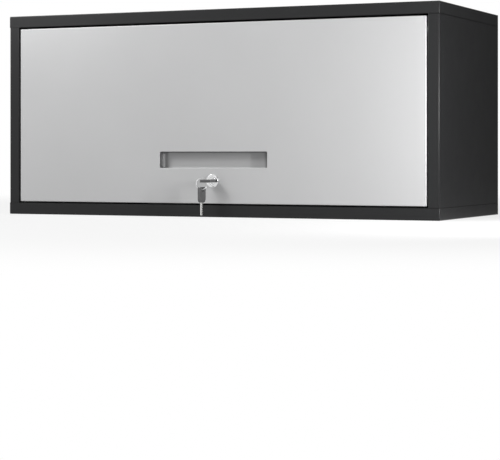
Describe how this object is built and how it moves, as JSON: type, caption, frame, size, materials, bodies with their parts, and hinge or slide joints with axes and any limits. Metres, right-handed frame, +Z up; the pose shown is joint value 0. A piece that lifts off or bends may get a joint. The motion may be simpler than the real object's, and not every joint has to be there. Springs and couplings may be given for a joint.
{
  "type": "hanging wall cabinet",
  "caption": "Low steel wall cabinet whose full-width front door lifts about top corner pins, with a recessed handle, cam lock, side rails and support rollers.",
  "frame": {"origin": "middle of the wall face, on the back panel's outer side", "axes": "+X to the right seen from the front, +Y towards the wall, +Z up"},
  "size_m": [0.8, 0.3633, 0.35],
  "materials": {
    "carcass_paint": "satin charcoal powder coat",
    "rail_steel": "satin charcoal powder coat",
    "door_paint": "smooth satin silver-grey paint",
    "inner_panel_paint": "satin mid-grey paint",
    "nylon": "white moulded nylon",
    "plated_steel": "bright zinc plate",
    "dark_screw_steel": "blackened steel",
    "bumper_rubber": "white soft rubber",
    "lock_chrome": "polished chrome plate",
    "key_steel": "nickel plate",
    "key_plastic": "dark grey moulded plastic",
    "ring_steel": "bright spring wire"
  },
  "bodies": {
    "cabinet": {"top_panel": "carcass_paint", "bottom_panel": "carcass_paint", "left_side_panel": "carcass_paint", "right_side_panel": "carcass_paint", "back_panel": "carcass_paint", "left_corner_gusset": "carcass_paint", "right_corner_gusset": "carcass_paint", "door_stop_strip": "carcass_paint", "left_rail": "rail_steel", "right_rail": "rail_steel", "left_roller_axle": "plated_steel", "right_roller_axle": "plated_steel", "roller_screws": "dark_screw_steel"},
    "roller_left": {"left_roller": "nylon"},
    "roller_right": {"right_roller": "nylon"},
    "door": {"door_skin": "door_paint", "door_inner_panel": "inner_panel_paint", "handle_cup": "door_paint", "left_pivot_block": "nylon", "right_pivot_block": "nylon", "pivot_block_screws": "plated_steel", "left_pivot_pin": "plated_steel", "right_pivot_pin": "plated_steel", "left_bumper": "bumper_rubber", "right_bumper": "bumper_rubber", "lock_body": "lock_chrome", "lock_nut": "plated_steel"},
    "wheel_left": {"left_pivot_wheel": "nylon"},
    "wheel_right": {"right_pivot_wheel": "nylon"},
    "lock": {"lock_barrel": "lock_chrome", "lock_cam": "plated_steel", "cam_screw": "plated_steel"},
    "key": {"key_blade": "key_steel", "key_head": "key_plastic"},
    "ring": {"key_ring": "ring_steel"},
    "spare_key": {"spare_key_blade": "key_steel", "spare_key_head": "key_plastic"}
  },
  "joints": [
    {"name": "door_flip", "type": "hinge", "parent": "cabinet", "child": "door", "pos_m": [0, -0.31575, 0.131], "axis": [-1, 0, 0], "range_deg": [0, 90]},
    {"name": "left_roller_spin", "type": "hinge", "parent": "cabinet", "child": "roller_left", "pos_m": [-0.3745, -0.292, 0.10895], "axis": [1, 0, 0], "continuous": true},
    {"name": "right_roller_spin", "type": "hinge", "parent": "cabinet", "child": "roller_right", "pos_m": [0.3745, -0.292, 0.10895], "axis": [1, 0, 0], "continuous": true},
    {"name": "left_wheel_spin", "type": "hinge", "parent": "door", "child": "wheel_left", "pos_m": [-0.392, -0.31575, 0.131], "axis": [1, 0, 0], "continuous": true},
    {"name": "right_wheel_spin", "type": "hinge", "parent": "door", "child": "wheel_right", "pos_m": [0.392, -0.31575, 0.131], "axis": [1, 0, 0], "continuous": true},
    {"name": "lock_turn", "type": "hinge", "parent": "door", "child": "lock", "pos_m": [0, -0.325, -0.114], "axis": [0, 1, 0], "range_deg": [0, 90]},
    {"name": "key_withdraw", "type": "slide", "parent": "lock", "child": "key", "axis": [0, -1, 0], "range_m": [0, 0.025]},
    {"name": "key_ring_swing", "type": "hinge", "parent": "key", "child": "ring", "pos_m": [-0.00645, -0.35321, -0.114], "axis": [-0.9063, -0.4226, 0], "range_deg": [-12, 20]},
    {"name": "spare_key_swing", "type": "hinge", "parent": "ring", "child": "spare_key", "pos_m": [-0.00645, -0.35321, -0.12789], "axis": [-0.9063, -0.4226, 0], "range_deg": [-20, 30]}
  ]
}
